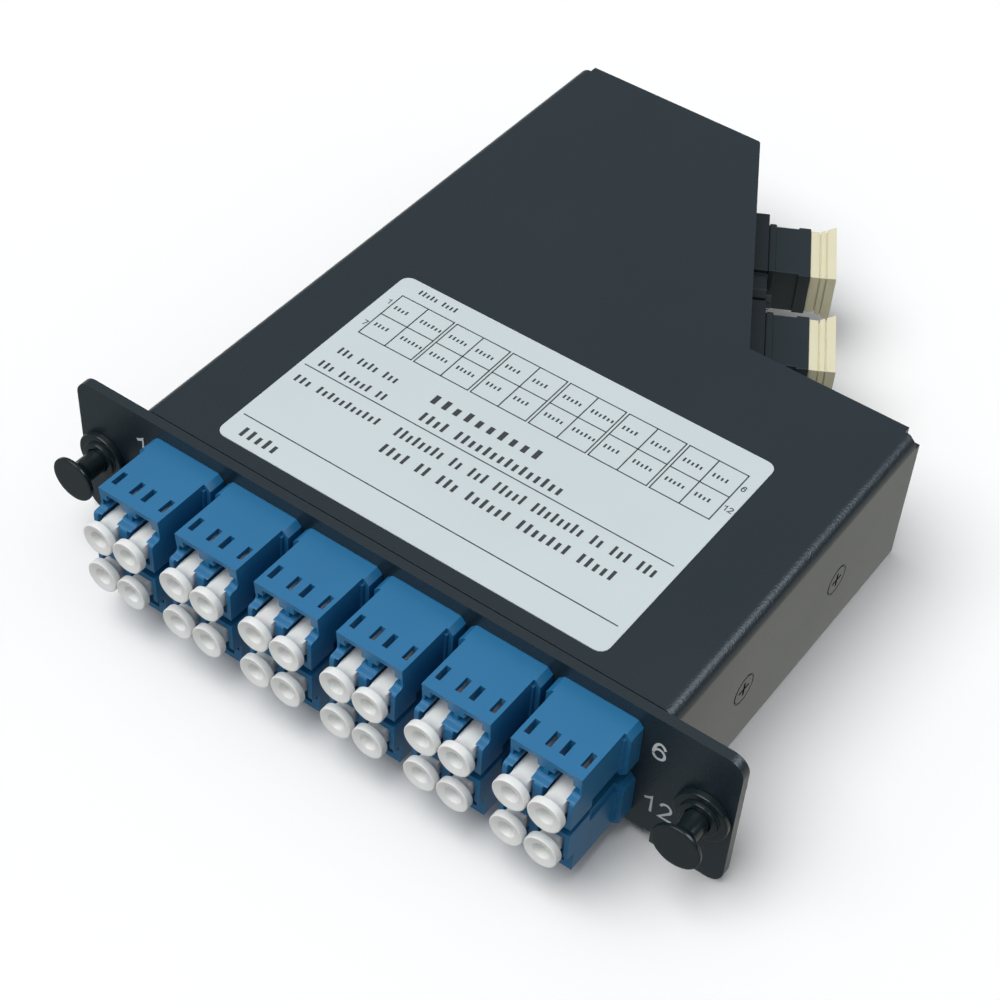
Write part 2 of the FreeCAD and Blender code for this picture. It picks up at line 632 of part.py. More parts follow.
def build_mpo_parts():
    adapter = new_body("mpo_adapter_pattern")
    half = cell("mpo_width") / 2
    rise = cell("mpo_height") / 2
    inside = cell("mpo_inside")
    Drawing(adapter, "XZ_Plane", inside).box(-half, half, -rise, rise).pad(
        inside + cell("mpo_collar_start"), reverse=True)
    collar = cell("mpo_collar_width") / 2
    Drawing(adapter, "XZ_Plane", -cell("mpo_collar_start")).box(-collar, collar, -rise, rise).pad(
        cell("mpo_reach") - cell("mpo_collar_start"), reverse=True)
    neck = cell("mpo_neck_step")
    Drawing(adapter, "XZ_Plane", -cell("mpo_flange_thick")).box(
        -half - neck, half + neck, -rise - neck, rise + neck).pad(
        cell("mpo_neck_end") - cell("mpo_flange_thick"), reverse=True)
    flange = cell("mpo_flange_width") / 2
    flange_rise = cell("mpo_flange_height") / 2
    Drawing(adapter, "XZ_Plane").box(-flange, flange, -flange_rise, flange_rise).pad(
        cell("mpo_flange_thick"), reverse=True)
    round_edges(adapter, 1.2, lambda e: straight_along(e, 1) and abs(
        abs(ends(e)[0].x) - flange.number) < 1e-4, "Chamfer")
    bore = cell("mpo_bore_width") / 2
    bore_rise = cell("mpo_bore_height") / 2
    key = cell("mpo_key_width") / 2
    Drawing(adapter, "XZ_Plane").ring([
        (-bore, -bore_rise), (bore, -bore_rise), (bore, bore_rise), (key, bore_rise),
        (key, bore_rise + cell("mpo_key_rise")), (-key, bore_rise + cell("mpo_key_rise")),
        (-key, bore_rise), (-bore, bore_rise),
    ]).cut(60, middle=True)
    holes = Drawing(adapter, "XZ_Plane")
    for side in (-1, 1):
        holes.round_ring(cell("mpo_screw_offset") * side, 0, cell("mpo_screw") + cell("mpo_screw_fit"))
    holes.cut(cell("mpo_flange_thick"))

    cap = new_body("mpo_cap_pattern")
    reach = cell("mpo_reach")
    start = reach + cell("mpo_cap_seat")
    flare = cell("mpo_cap_flare")
    flare_start = start + cell("mpo_cap_flare_start")
    end = start + cell("mpo_cap_length")
    wide = cell("mpo_cap_width") / 2
    tall = cell("mpo_cap_height") / 2
    Drawing(cap, "YZ_Plane").ring([
        (start, -tall), (flare_start, -tall), (end, -tall - flare), (end, tall + flare),
        (flare_start, tall), (start, tall),
    ]).pad((wide + flare) * 2, middle=True)
    sides = Drawing(cap, "XY_Plane")
    for side in (-1, 1):
        outer = (wide + flare + 1) * side
        sides.ring([
            (wide * side, start - 1), (wide * side, flare_start), ((wide + flare) * side, end),
            (outer, end), (outer, start - 1),
        ])
    sides.cut((tall + flare) * 2 + 2, middle=True)
    fit = cell("mpo_cap_fit")
    Drawing(cap, "XZ_Plane", -start).box(-bore + fit, bore - fit, -bore_rise + fit, bore_rise - fit).pad(
        cell("mpo_cap_plug"))
    depth = cell("mpo_groove")
    for place in (cell("mpo_groove_first"), cell("mpo_groove_second")):
        groove = Drawing(cap, "XZ_Plane", -reach - place)
        groove.box(-wide - flare - 1, wide + flare + 1, -tall - flare - 1, tall + flare + 1)
        groove.box(-wide + depth, wide - depth, -tall + depth, tall - depth)
        groove.cut(cell("mpo_groove_wide"))

    screw = new_body("mpo_screw_pattern")
    face = cell("mpo_flange_thick")
    Drawing(screw, "XZ_Plane", -face).round_ring(0, 0, cell("mpo_screw_head")).pad(
        cell("mpo_screw_head_thick"), reverse=True)
    Drawing(screw, "XZ_Plane", -face).round_ring(0, 0, cell("mpo_screw")).pad(cell("mpo_screw_reach"))

    plug = new_body("mpo_plug_pattern")
    nose = cell("mpo_plug_fit")
    Drawing(plug, "XZ_Plane").box(
        -bore + nose, bore - nose, -bore_rise + nose, bore_rise - nose).pad(inside)
    plug_half = cell("mpo_plug_width") / 2
    plug_rise = cell("mpo_plug_height") / 2
    length = cell("mpo_plug_length")
    Drawing(plug, "XZ_Plane", inside).box(-plug_half, plug_half, -plug_rise, plug_rise).pad(length)
    boot = cell("mpo_boot")
    Drawing(plug, "XZ_Plane", inside + length).box(-boot, boot, -boot, boot).pad(cell("mpo_boot_length"))

    screw_places = []
    for letter, station in zip("ab", mpo_stations):
        copies(adapter, "mpo_adapter_" + letter, [wall_spot(station)])
        copies(cap, "mpo_dust_cap_" + letter, [wall_spot(station)])
        copies(plug, "mpo_plug_" + letter, [wall_spot(station)])
        for side in (-1, 1):
            screw_places.append(wall_spot(station + cell("mpo_screw_offset") * side))
    copies(screw, "mpo_screws", screw_places)


# ---- connectors and fibres inside -------------------------------------------------------------------------

def build_inner_plugs():
    plug = new_body("inner_plug_pattern")
    half = cell("port_size") / 2 - cell("inner_plug_fit")
    front = cell("port_deep") + cell("inner_plug_gap")
    Drawing(plug, "XZ_Plane", -front).box(-half, half, -half, half).pad(
        cell("inner_plug_length"), reverse=True)
    boot = cell("inner_boot")
    Drawing(plug, "XZ_Plane", -front - cell("inner_plug_length")).box(-boot, boot, -boot, boot).pad(
        cell("inner_boot_length"), reverse=True)
    for name, z in (("upper", upper_ports), ("lower", lower_ports)):
        places = []
        for x in columns:
            for side in (-1, 1):
                places.append((x + port_half * side, plate_front, z, ALONG_Y, 0))
        copies(plug, "inner_plugs_" + name, places)


def bent_ribbon(label, points, radii, half_thick, half_tall):
    """A flat stack of ribbons along straight runs joined by tangent arcs; it stands on edge."""
    route = []
    start = points[0]
    for before, corner, after, radius in zip(points, points[1:], points[2:], radii):
        to_before = (before - corner).normalize()
        to_after = (after - corner).normalize()
        turn = math.pi - to_before.getAngle(to_after)
        back_off = radius * math.tan(turn / 2)
        first = corner + to_before * back_off
        last = corner + to_after * back_off
        bisector = (to_before + to_after).normalize()
        centre_reach = radius / math.cos(turn / 2)
        middle = corner + bisector * (centre_reach - radius)
        route.append(Part.LineSegment(start, first).toShape())
        route.append(Part.Arc(first, middle, last).toShape())
        start = last
    route.append(Part.LineSegment(start, points[-1]).toShape())
    path = Part.Wire(route)
    across = (points[1] - points[0]).normalize().cross(UP) * half_thick
    rise = UP * half_tall
    corners = [points[0] + across + rise, points[0] - across + rise, points[0] - across - rise,
               points[0] + across - rise]
    section = Part.makePolygon(corners + corners[:1])
    ribbon = doc.addObject("Part::Feature", label)
    ribbon.Shape = path.makePipeShell([section], True, False)
    ribbon.Label = label
    nodes.append(ribbon)


def build_looms():
    """The fibres of each row, dressed as one loom that runs behind the connectors and round to its plug."""
    half_thick = cell("loom_thick").number / 2
    half_tall = cell("loom_tall").number / 2
    boot_end = cell("port_deep") + cell("inner_plug_gap") + cell("inner_plug_length") + cell(
        "inner_boot_length") - sheet_thick
    line = (boot_end + cell("loom_gap")).number
    side = -(base_half - cell("loom_inset")).number
    start_x = columns[-1].number + port_half.number + 2
    angle = math.radians(slant.number)
    out = FreeCAD.Vector(math.cos(angle), math.sin(angle), 0)
    step_height = upper_ports.number
    for letter, station, z in zip("ab", mpo_stations, (upper_ports.number, lower_ports.number)):
        x, y, level = [as_size(v).number for v in wall_spot(station)[:3]]
        plug_back = cell("mpo_inside") + cell("mpo_plug_length") + cell("mpo_boot_length")
        end = FreeCAD.Vector(x, y, level) - out * plug_back.number
        corner = end - out * ((end.x - side) / out.x)
        points = [FreeCAD.Vector(start_x, line, z), FreeCAD.Vector(side, line, z)]
        radii = [cell("loom_bend").number]
        if z > 0:
            points.append(FreeCAD.Vector(side, (line + corner.y) / 2 + 3.5, step_height))
            radii.append(cell("loom_bend").number * 2)
        points.extend([corner, end])
        radii.append(cell("loom_end_bend").number)
        bent_ribbon("fibre_loom_" + letter, points, radii, half_thick, half_tall)
    # one short tail from each connector to its loom
    tail = new_body("fibre_tail_pattern")
    half = cell("tail_size") / 2
    Drawing(tail, "XZ_Plane", -boot_end).box(-half, half, -half, half).pad(
        cell("loom_gap") - cell("loom_thick") / 2, reverse=True)
    places = []
    for z in (upper_ports, lower_ports):
        for x in columns:
            for side_step in (-1, 1):
                places.append((x + port_half * side_step, 0, z, ALONG_Y, 0))
    copies(tail, "fibre_tails", places)


build_base()
build_cover()
build_label()
build_duplex_adapters()
build_dust_caps()
build_latches()
build_cover_screws()
build_mpo_parts()
build_inner_plugs()
build_looms()
doc.recompute()

for thing in doc.Objects:
    if "Invalid" in thing.State or "Error" in thing.State:
        raise RuntimeError("%s did not build: %s" % (thing.Label, thing.State))
for node in nodes:
    if node.Shape.isNull() or not node.Shape.isValid() or not node.Shape.Solids:
        raise RuntimeError("%s has no valid shape" % node.Label)

os.makedirs("parts", exist_ok=True)
for node in nodes:
    node.Shape.exportStep("parts/%s.step" % node.Label)
print("nodes", len(nodes))
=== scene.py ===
import json
import math

import bmesh
import bpy
import numpy as np
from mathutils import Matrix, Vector


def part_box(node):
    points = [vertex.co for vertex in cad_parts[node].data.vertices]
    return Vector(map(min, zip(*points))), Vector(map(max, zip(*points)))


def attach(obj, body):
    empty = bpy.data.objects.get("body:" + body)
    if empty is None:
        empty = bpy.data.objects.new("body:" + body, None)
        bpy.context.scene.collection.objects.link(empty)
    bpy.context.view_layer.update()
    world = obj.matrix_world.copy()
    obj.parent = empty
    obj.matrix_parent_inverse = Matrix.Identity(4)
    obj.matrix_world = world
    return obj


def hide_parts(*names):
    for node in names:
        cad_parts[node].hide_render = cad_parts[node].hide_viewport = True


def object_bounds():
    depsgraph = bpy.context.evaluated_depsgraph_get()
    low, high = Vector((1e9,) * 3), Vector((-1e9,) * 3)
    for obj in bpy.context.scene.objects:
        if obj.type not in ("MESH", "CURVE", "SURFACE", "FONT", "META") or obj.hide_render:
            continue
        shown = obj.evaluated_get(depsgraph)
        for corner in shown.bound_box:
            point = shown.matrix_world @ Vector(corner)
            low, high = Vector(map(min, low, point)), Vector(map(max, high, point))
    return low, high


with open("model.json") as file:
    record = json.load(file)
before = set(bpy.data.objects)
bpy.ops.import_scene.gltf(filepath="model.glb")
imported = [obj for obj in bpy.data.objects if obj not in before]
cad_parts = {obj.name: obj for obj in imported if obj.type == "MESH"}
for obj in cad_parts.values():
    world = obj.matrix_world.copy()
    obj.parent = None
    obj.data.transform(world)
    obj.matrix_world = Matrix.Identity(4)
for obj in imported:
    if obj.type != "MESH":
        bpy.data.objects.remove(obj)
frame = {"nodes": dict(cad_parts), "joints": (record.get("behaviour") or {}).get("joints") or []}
cad_nodes = frame["nodes"]
cad_low, cad_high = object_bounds()
MM = 0.001

# ---- The camera ----------------------------------------------------------------------------------
# A long lens above the front right corner, looking down across the cassette at its label and ports.

CAMERA_SENSOR, CAMERA_LENS = 36, 75.86
CAMERA_PLACE = (0.13364, -0.17584, 0.25325)
CAMERA_TURN = (44.248, -2.828, 35.988)
CAMERA_NEAR, CAMERA_FAR = 0.01, 20

camera_data = bpy.data.cameras.new("camera")
camera_data.sensor_width = CAMERA_SENSOR
camera_data.lens = CAMERA_LENS
camera_data.clip_start = CAMERA_NEAR
camera_data.clip_end = CAMERA_FAR
camera = bpy.data.objects.new("camera", camera_data)
bpy.context.scene.collection.objects.link(camera)
camera.location = CAMERA_PLACE
camera.rotation_euler = [math.radians(turn) for turn in CAMERA_TURN]
bpy.context.scene.camera = camera
bpy.context.scene.view_settings.view_transform = "Standard"


# ---- The studio ----------------------------------------------------------------------------------
# A white table under a broad sky light, in a room that is white to the camera, and in gloss is dark at
# the horizon and grey above. In gloss the table is a glow, a painted reflection with a painted shadow in
# front of the plate. A softbox behind the right side draws the highlight along the folds.

class Signal:
    """A shader socket that takes part in arithmetic: each operator adds a Math node to its finish."""

    def __init__(self, finish, socket):
        self.finish = finish
        self.socket = socket

    def math(self, operation, first, second):
        return self.finish.node("ShaderNodeMath", {"operation": operation}, {0: first, 1: second})[0]

    def __add__(self, other):
        return self.math("ADD", self, other)

    def __radd__(self, other):
        return self.math("ADD", other, self)

    def __sub__(self, other):
        return self.math("SUBTRACT", self, other)

    def __rsub__(self, other):
        return self.math("SUBTRACT", other, self)

    def __mul__(self, other):
        return self.math("MULTIPLY", self, other)

    def __rmul__(self, other):
        return self.math("MULTIPLY", other, self)


class Finish:
    """A material built round one shader. Plain values are set on the shader's own sockets."""

    def __init__(self, name, tree=None, shader="ShaderNodeBsdfPrincipled", **constants):
        if tree is None:
            self.material = bpy.data.materials.new(name)
            self.material.use_nodes = True
            tree = self.material.node_tree
        self.tree = tree
        tree.nodes.clear()
        self.output = tree.nodes.new("ShaderNodeOutputWorld" if shader == "ShaderNodeBackground"
                                     else "ShaderNodeOutputMaterial")
        self.shader = tree.nodes.new(shader)
        tree.links.new(self.shader.outputs[0], self.output.inputs[0])
        for socket, value in constants.items():
            self.shader.inputs[socket.replace("_", " ")].default_value = value

    def feed(self, socket, value):
        """Links a signal to a socket, or sets a plain value on it."""
        if isinstance(value, Signal):
            self.tree.links.new(value.socket, socket)
        else:
            socket.default_value = value

    def node(self, kind, settings=None, inputs=None):
        """Any node: its settings first, then its sockets by name or number. Returns its outputs."""
        made = self.tree.nodes.new(kind)
        for key, value in (settings or {}).items():
            if key == "stops":
                ramp = made.color_ramp
                while len(ramp.elements) < len(value):
                    ramp.elements.new(0.5)
                for element, (place, colour) in zip(ramp.elements, value):
                    element.position = place
                    element.color = colour
            else:
                setattr(made, key, value)
        for key, value in (inputs or {}).items():
            self.feed(made.inputs[key], value)
        return [Signal(self, socket) for socket in made.outputs]

    def drive(self, socket, value):
        """Feeds a signal or a value to one of the shader's own sockets."""
        self.feed(self.shader.inputs[socket], value)

    def place(self):
        """Where a point is on the object, in metres: the Object output of Texture Coordinate."""
        return self.node("ShaderNodeTexCoord")[3]

    def noise(self, size, detail=3.0, roughness=0.5, stretch=(1, 1, 1)):
        """Soft random spots, about size across, from 0 to 1."""
        where = self.node("ShaderNodeMapping", {}, {"Vector": self.place(), "Scale": stretch})[0]
        return self.node("ShaderNodeTexNoise", {}, {
            "Vector": where, "Scale": 1 / size, "Detail": detail, "Roughness": roughness})[0]

    def blend(self, factor, first, second):
        """A colour between two, by the factor, through the colour sockets of a Mix node."""
        return self.node("ShaderNodeMix", {"data_type": "RGBA"}, {0: factor, 6: first, 7: second})[2]

    def ramp(self, factor, stops):
        """A colour from a row of stops, each a place from 0 to 1 and a colour."""
        return self.node("ShaderNodeValToRGB", {"stops": stops}, {0: factor})[0]

    def emboss(self, height, strength, distance):
        """Bumps from a height signal; the distance is how far a height of 1 stands out, in metres."""
        bump = self.node("ShaderNodeBump", {}, {
            "Height": height, "Strength": strength, "Distance": distance})[0]
        self.drive("Normal", bump)


TABLE_REACH = 6.0
TABLE_SEEN = (0.97, 0.97, 0.97, 1)
TABLE_PAINTED_REFLECTION = (0.62, 0.62, 0.575, 1)
TABLE_REFLECTION_PAINTED_SHADOW = (0.26, 0.29, 0.30, 1)
PAINTED_SHADOW_EDGE, PAINTED_SHADOW_FADE = -0.003, 0.012
TABLE_BOUNCE = (0.42, 0.42, 0.41, 1)
ROOM_SEEN = (1.0, 1.0, 1.0, 1)
ROOM_FILL = (0.42, 0.43, 0.44, 1)
ROOM_GLOSS = [(0.0, (0.05, 0.06, 0.08, 1)), (0.12, (0.07, 0.08, 0.10, 1)), (0.5, (0.36, 0.38, 0.40, 1)),
              (1.0, (0.52, 0.53, 0.54, 1))]
SKY_PLACE = (-0.30, -0.35, 1.0)
SKY_ANGLE = 50
SKY_STRENGTH = 2.15
RIM_PLACE = (0.50, 0.40, 0.68)
RIM_SIZE = 0.50
RIM_POWER = 3.4
RIM_COLOUR = (0.80, 0.91, 1.0)
BLACK = (0, 0, 0, 1)
CAMERA_RAY, GLOSSY_RAY = 0, 3

table_corners = [(x * TABLE_REACH, y * TABLE_REACH, 0) for x, y in ((-1, -1), (1, -1), (1, 1), (-1, 1))]
table_mesh = bpy.data.meshes.new("table")
table_mesh.from_pydata(table_corners, [], [(0, 1, 2, 3)])
table = bpy.data.objects.new("table", table_mesh)
table.location.z = cad_low.z
bpy.context.scene.collection.objects.link(table)
# Glossy rays see the table as a glow of fixed brightness: a painted reflection that no shadow reaches.
table_finish = Finish("white_table", Roughness=0.9, Specular_IOR_Level=0.0, Emission_Strength=1.0)
rays = table_finish.node("ShaderNodeLightPath")
rearward = table_finish.node("ShaderNodeSeparateXYZ", {}, {0: table_finish.place()})[1]
# In front of the plate the glow is darker: a painted shadow of the cassette, as reflections show it.
painted_reflection = table_finish.ramp((rearward - PAINTED_SHADOW_EDGE) * (1 / PAINTED_SHADOW_FADE),
                             [(0.0, TABLE_REFLECTION_PAINTED_SHADOW), (1.0, TABLE_PAINTED_REFLECTION)])
table_finish.drive("Emission Color", table_finish.blend(rays[GLOSSY_RAY], BLACK, painted_reflection))
unseen = table_finish.blend(rays[GLOSSY_RAY], TABLE_BOUNCE, BLACK)
table_finish.drive("Base Color", table_finish.blend(rays[CAMERA_RAY], unseen, TABLE_SEEN))
table_finish.material.cycles.emission_sampling = "NONE"
table_mesh.materials.append(table_finish.material)

world = bpy.data.worlds.new("room")
bpy.context.scene.world = world
world.use_nodes = True
room = Finish("room", world.node_tree, "ShaderNodeBackground")
rays = room.node("ShaderNodeLightPath")
height = room.node("ShaderNodeSeparateXYZ", {}, {0: room.node("ShaderNodeTexCoord")[0]})[2]
lit = room.blend(rays[GLOSSY_RAY], ROOM_FILL, room.ramp(height, ROOM_GLOSS))
room.drive("Color", room.blend(rays[CAMERA_RAY], lit, ROOM_SEEN))


def aim(lamp, place):
    """Puts a lamp at a place, or for a sun in its direction, turned towards the origin."""
    holder = bpy.data.objects.new(lamp.name, lamp)
    holder.location = place
    holder.rotation_euler = (-Vector(place)).to_track_quat("-Z", "Y").to_euler()
    bpy.context.scene.collection.objects.link(holder)
    return holder


sky = bpy.data.lights.new("broad_sky", "SUN")
sky.angle = math.radians(SKY_ANGLE)
sky.energy = SKY_STRENGTH
aim(sky, SKY_PLACE)
rim = bpy.data.lights.new("rim_softbox", "AREA")
rim.shape = "DISK"
rim.size = RIM_SIZE
rim.energy = RIM_POWER
rim.color = RIM_COLOUR
aim(rim, RIM_PLACE).visible_diffuse = False


# ---- Folded base with the front plate ------------------------------------------------------------
# One piece of 1.8 mm sheet steel: the front plate, the floor, low side flanges and the rear walls.
# Laser cut, folded, and powder coated charcoal with a fine grain.

COAT_COLOUR = (0.0085, 0.0185, 0.0265, 1)
COAT_WORN = (0.0125, 0.0235, 0.0315, 1)
COAT_GRAIN, COAT_BUMP, COAT_PATCHES = 0.38 * MM, 0.11 * MM, 30 * MM
COAT_GLOSS = 0.5
FOLD_ROUNDING = 0.22 * MM
HARD_TURN = math.radians(28)
FLAT_TURN = math.radians(1)
SAME_PLANE = math.cos(math.radians(0.6))
SMOOTH_TURN = math.cos(math.radians(52))
WELD_GAP = 0.002 * MM


def powder_coat(name, roughness):
    """Charcoal paint with a fine orange-peel grain; broad soft patches change its gloss a little."""
    coat = Finish(name, Roughness=roughness, IOR=1.5, Specular_IOR_Level=COAT_GLOSS)
    patches = coat.noise(COAT_PATCHES, detail=2)
    grain = coat.noise(COAT_GRAIN, detail=2, roughness=0.6)
    coat.drive("Base Color", coat.blend(patches * 0.6 + grain * 0.4, COAT_COLOUR, COAT_WORN))
    coat.drive("Roughness", roughness + (patches - 0.5) * 0.10)
    coat.emboss(grain, 0.6, COAT_BUMP)
    return coat.material


def rounded_off(name, shape, rounding):
    """Rounds every hard edge of a shape by the given radius, as paint and moulds leave them. Its normals
    are then set corner by corner: each is the mean of the face normals about that vertex that lie within
    SMOOTH_TURN of the corner's own face, each weighted by the area of the whole flat region its face is
    part of, so flats stay flat and folds stay round."""
    hard = [edge for edge in shape.edges if edge.is_manifold and edge.calc_face_angle() > HARD_TURN]
    bmesh.ops.bevel(shape, geom=hard, offset=rounding, offset_type="OFFSET", segments=2, profile=0.5,
                    affect="EDGES", clamp_overlap=True)
    shape.normal_update()
    shape.faces.index_update()
    weights = {}
    for seed in shape.faces:
        if seed.index in weights:
            continue
        region, waiting = {seed.index: seed}, [seed]
        while waiting:
            for edge in waiting.pop().edges:
                for face in edge.link_faces:
                    if face.index not in region and face.normal.dot(seed.normal) > SAME_PLANE:
                        region[face.index] = face
                        waiting.append(face)
        area = sum(face.calc_area() for face in region.values())
        weights.update((index, area) for index in region if index not in weights)
    normals = []
    for face in shape.faces:
        face.smooth = True
        for corner in face.loops:
            around = [(other.normal, weights[other.index]) for other in corner.vert.link_faces
                      if other.normal.dot(face.normal) > SMOOTH_TURN]
            total = sum((normal * weight for normal, weight in around), Vector())
            normals.append(tuple(total.normalized() if total.length > 0 else face.normal))
    mesh = bpy.data.meshes.new(name)
    shape.to_mesh(mesh)
    shape.free()
    mesh.normals_split_custom_set(normals)
    piece = bpy.data.objects.new(name, mesh)
    bpy.context.scene.collection.objects.link(piece)
    return piece


def softened(name, node, rounding):
    """A copy of a node's mesh with its loose triangles joined up and its hard edges rounded off."""
    shape = bmesh.new()
    shape.from_mesh(cad_nodes[node].data)
    bmesh.ops.remove_doubles(shape, verts=shape.verts, dist=WELD_GAP)
    bmesh.ops.dissolve_limit(shape, angle_limit=FLAT_TURN, verts=shape.verts, edges=shape.edges)
    bmesh.ops.triangulate(shape, faces=[face for face in shape.faces if len(face.verts) > 4])
    return rounded_off(name, shape, rounding)


def seat(piece, material, slot, body, *replaced):
    """Gives a finished piece its material and the body it rides on. The slot is not used."""
    if not piece.data.materials:
        piece.data.materials.append(material)
    if replaced:
        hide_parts(*replaced)
    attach(piece, body)
    return piece


plate_coat = powder_coat("powder_coat_base", 0.32)
seat(softened("folded_base", "base_tray", FOLD_ROUNDING), plate_coat, "powder_coated_steel", "cassette",
     "base_tray")


# ---- Folded cover --------------------------------------------------------------------------------
# The top and both sides from one 1.2 mm sheet, bent over the base and held by four countersunk screws.

cover_coat = powder_coat("powder_coat_cover", 0.30)
seat(softened("folded_cover", "top_cover", FOLD_ROUNDING), cover_coat, "powder_coated_steel", "cassette",
     "top_cover")


# ---- Label ---------------------------------------------------------------------------------------
# A matt white film sticker with rounded corners. The print is ruled lines, a table with a cell for each
# port, port numbers at its ends, and rows of small blocks where the wording would be.

FILM_COLOUR = (0.61, 0.68, 0.70, 1)
FILM_SHADE = (0.56, 0.625, 0.645, 1)
INK_COLOUR = (0.022, 0.026, 0.03, 1)
INK_SHADE = (0.05, 0.055, 0.06, 1)
INK_HEIGHT = 0.02 * MM
RULE_WIDTH = 0.23
RULE_LEFT, RULE_RIGHT = -38.0, 35.6
RULE_LEVELS = (24.9, 9.3)
TABLE_LEFT, TABLE_TOP, TABLE_MIDDLE, TABLE_LOW = -36.2, 49.2, 43.1, 36.9
GROUPS, GROUP_WIDTH, GROUP_PITCH = 6, 11.3, 11.9
CELL_LEVELS, CELL_INSET, CELL_PRINT, CELL_LETTER = (45.9, 40.4), 0.7, 0.95, 0.8
LETTER_START, LETTER_END, LETTER_LOW = 0.2, 0.62, 0.78
# Each row of print: its left end, middle, height, the letters of each word, and its right end.
PRINT_ROWS = (
    (-34.6, 51.9, 1.25, [5, 4], -26.2),
    (-36.0, 31.3, 1.7, [3, 4, 3], -23.1), (-16.6, 31.7, 2.2, [10], 6.3),
    (-36.5, 26.8, 1.7, [3, 6, 2], -22.1), (-15.4, 27.2, 2.2, [4, 15], 13.4),
    (-37.4, 21.5, 1.7, [3, 11], -19.3), (-16.4, 21.8, 2.2, [8, 2, 3, 5, 8, 2, 3, 3], 34.8),
    (-15.9, 17.3, 2.2, [4, 2, 3, 6, 7, 5], 30.1),
    (-35.9, 6.1, 2.2, [5], -27.9),
)

film = Finish("label_film", Roughness=0.55)
fibres = film.noise(1.2 * MM, detail=4)
film.drive("Base Color", film.blend(film.noise(25 * MM, detail=1), FILM_COLOUR, FILM_SHADE))
film.emboss(fibres, 0.12, 0.03 * MM)
label = cad_nodes["label_sticker"]
label.data.materials.clear()
label.data.materials.append(film.material)
ink = Finish("label_ink", Roughness=0.5)
ink.drive("Base Color", ink.blend(ink.noise(0.35 * MM, detail=2), INK_COLOUR, INK_SHADE))
label_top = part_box("label_sticker")[1].z


def blocks(name, boxes, low, high):
    """Flat closed blocks as one mesh. Each box is left, bottom, right, top in millimetres; a block's eight
    corners are every mix of those with the low and high levels, worked out as one array."""
    boxes = np.asarray(boxes, float) * MM
    pick = np.array([(0, 1), (2, 1), (2, 3), (0, 3)])
    corners = np.empty((len(boxes), 8, 3))
    corners[:, :4, :2] = corners[:, 4:, :2] = boxes[:, pick]
    corners[:, :4, 2] = low
    corners[:, 4:, 2] = high
    sides = np.array([(3, 2, 1, 0), (4, 5, 6, 7), (0, 1, 5, 4), (1, 2, 6, 5), (2, 3, 7, 6), (3, 0, 4, 7)])
    faces = sides[None] + 8 * np.arange(len(boxes))[:, None, None]
    mesh = bpy.data.meshes.new(name)
    mesh.from_pydata(corners.reshape(-1, 3).tolist(), [], faces.reshape(-1, 4).tolist())
    piece = bpy.data.objects.new(name, mesh)
    bpy.context.scene.collection.objects.link(piece)
    return piece


def word_row(left, middle, height, words, right):
    """Blocks in place of a line of words: one narrow block for each letter, a gap of one between words,
    spread evenly from left to right. Block heights follow a fixed wave, so the row reads as print."""
    slots = sum(words) + len(words) - 1
    step = (right - left) / slots
    boxes = []
    slot = 0
    for count in words:
        for letter in range(count):
            full = letter == 0 or math.sin(2.3 * slot) > 0.45
            tall = height * (1.0 if full else LETTER_LOW)
            start = left + slot * step
            boxes.append((start + LETTER_START * step, middle - height / 2,
                          start + LETTER_END * step, middle - height / 2 + tall))
            slot += 1
        slot += 1
    return boxes


def rule(x0, y0, x1, y1):
    """The box of a ruled line between two points that lie level or upright of each other."""
    half = RULE_WIDTH / 2
    return (min(x0, x1) - half, min(y0, y1) - half, max(x0, x1) + half, max(y0, y1) + half)


print_boxes = []
for group in range(GROUPS):
    left = TABLE_LEFT + GROUP_PITCH * group
    for offset in (0, GROUP_WIDTH / 2, GROUP_WIDTH):
        print_boxes.append(rule(left + offset, TABLE_LOW, left + offset, TABLE_TOP))
    for y in (TABLE_LOW, TABLE_MIDDLE, TABLE_TOP):
        print_boxes.append(rule(left, y, left + GROUP_WIDTH, y))
    for y in CELL_LEVELS:
        for half, letters in ((0, 4 + group % 2), (1, 6 - group % 3)):
            start = left + half * GROUP_WIDTH / 2 + CELL_INSET
            print_boxes += word_row(start, y, CELL_PRINT, [letters], start + CELL_LETTER * letters)
for y in RULE_LEVELS:
    print_boxes.append(rule(RULE_LEFT, y, RULE_RIGHT, y))
for left, middle, height, words, right in PRINT_ROWS:
    print_boxes += word_row(left, middle, height, words, right)
seat(blocks("label_print", print_boxes, label_top, label_top + INK_HEIGHT), ink.material, "label_paper",
     "cassette")


def arc(x, y, reach_x, reach_y, first, last, steps=14):
    """Points of an ellipse about (x, y), from the first angle to the last, in degrees."""
    turns = np.radians(np.linspace(first, last, steps + 1))
    return list(zip(x + reach_x * np.cos(turns), y + reach_y * np.sin(turns)))


LABEL_NUMBER_HEIGHT, LABEL_NUMBER_WEIGHT = 1.3, 0.2
LABEL_NUMBERS = (("1", -36.9, 46.6), ("7", -36.9, 39.6), ("6", 35.5, 46.1), ("12", 35.9, 40.7))
DIGIT_PITCH = 0.64
MITRE_LIMIT = 1.8
STROKE_OVERRUN = 0.3
LEVEL_DROP = 0.3
# The strokes of each digit on a field one unit high, with its middle at (0, 0).
STROKES = {
    "1": [[(-0.29, 0.24), (-0.08, 0.34), (0.0, 0.43), (0.0, -0.43)]],
    "2": [arc(0, 0.19, 0.23, 0.24, 165, -35) + [(-0.25, -0.43), (0.27, -0.43)]],
    "6": [arc(0.03, -0.14, 0.28, 0.57, 42, 180), arc(0, -0.16, 0.25, 0.27, 180, 545, 24)],
    "7": [[(-0.25, 0.43), (0.25, 0.43), (-0.06, -0.43)]],
}


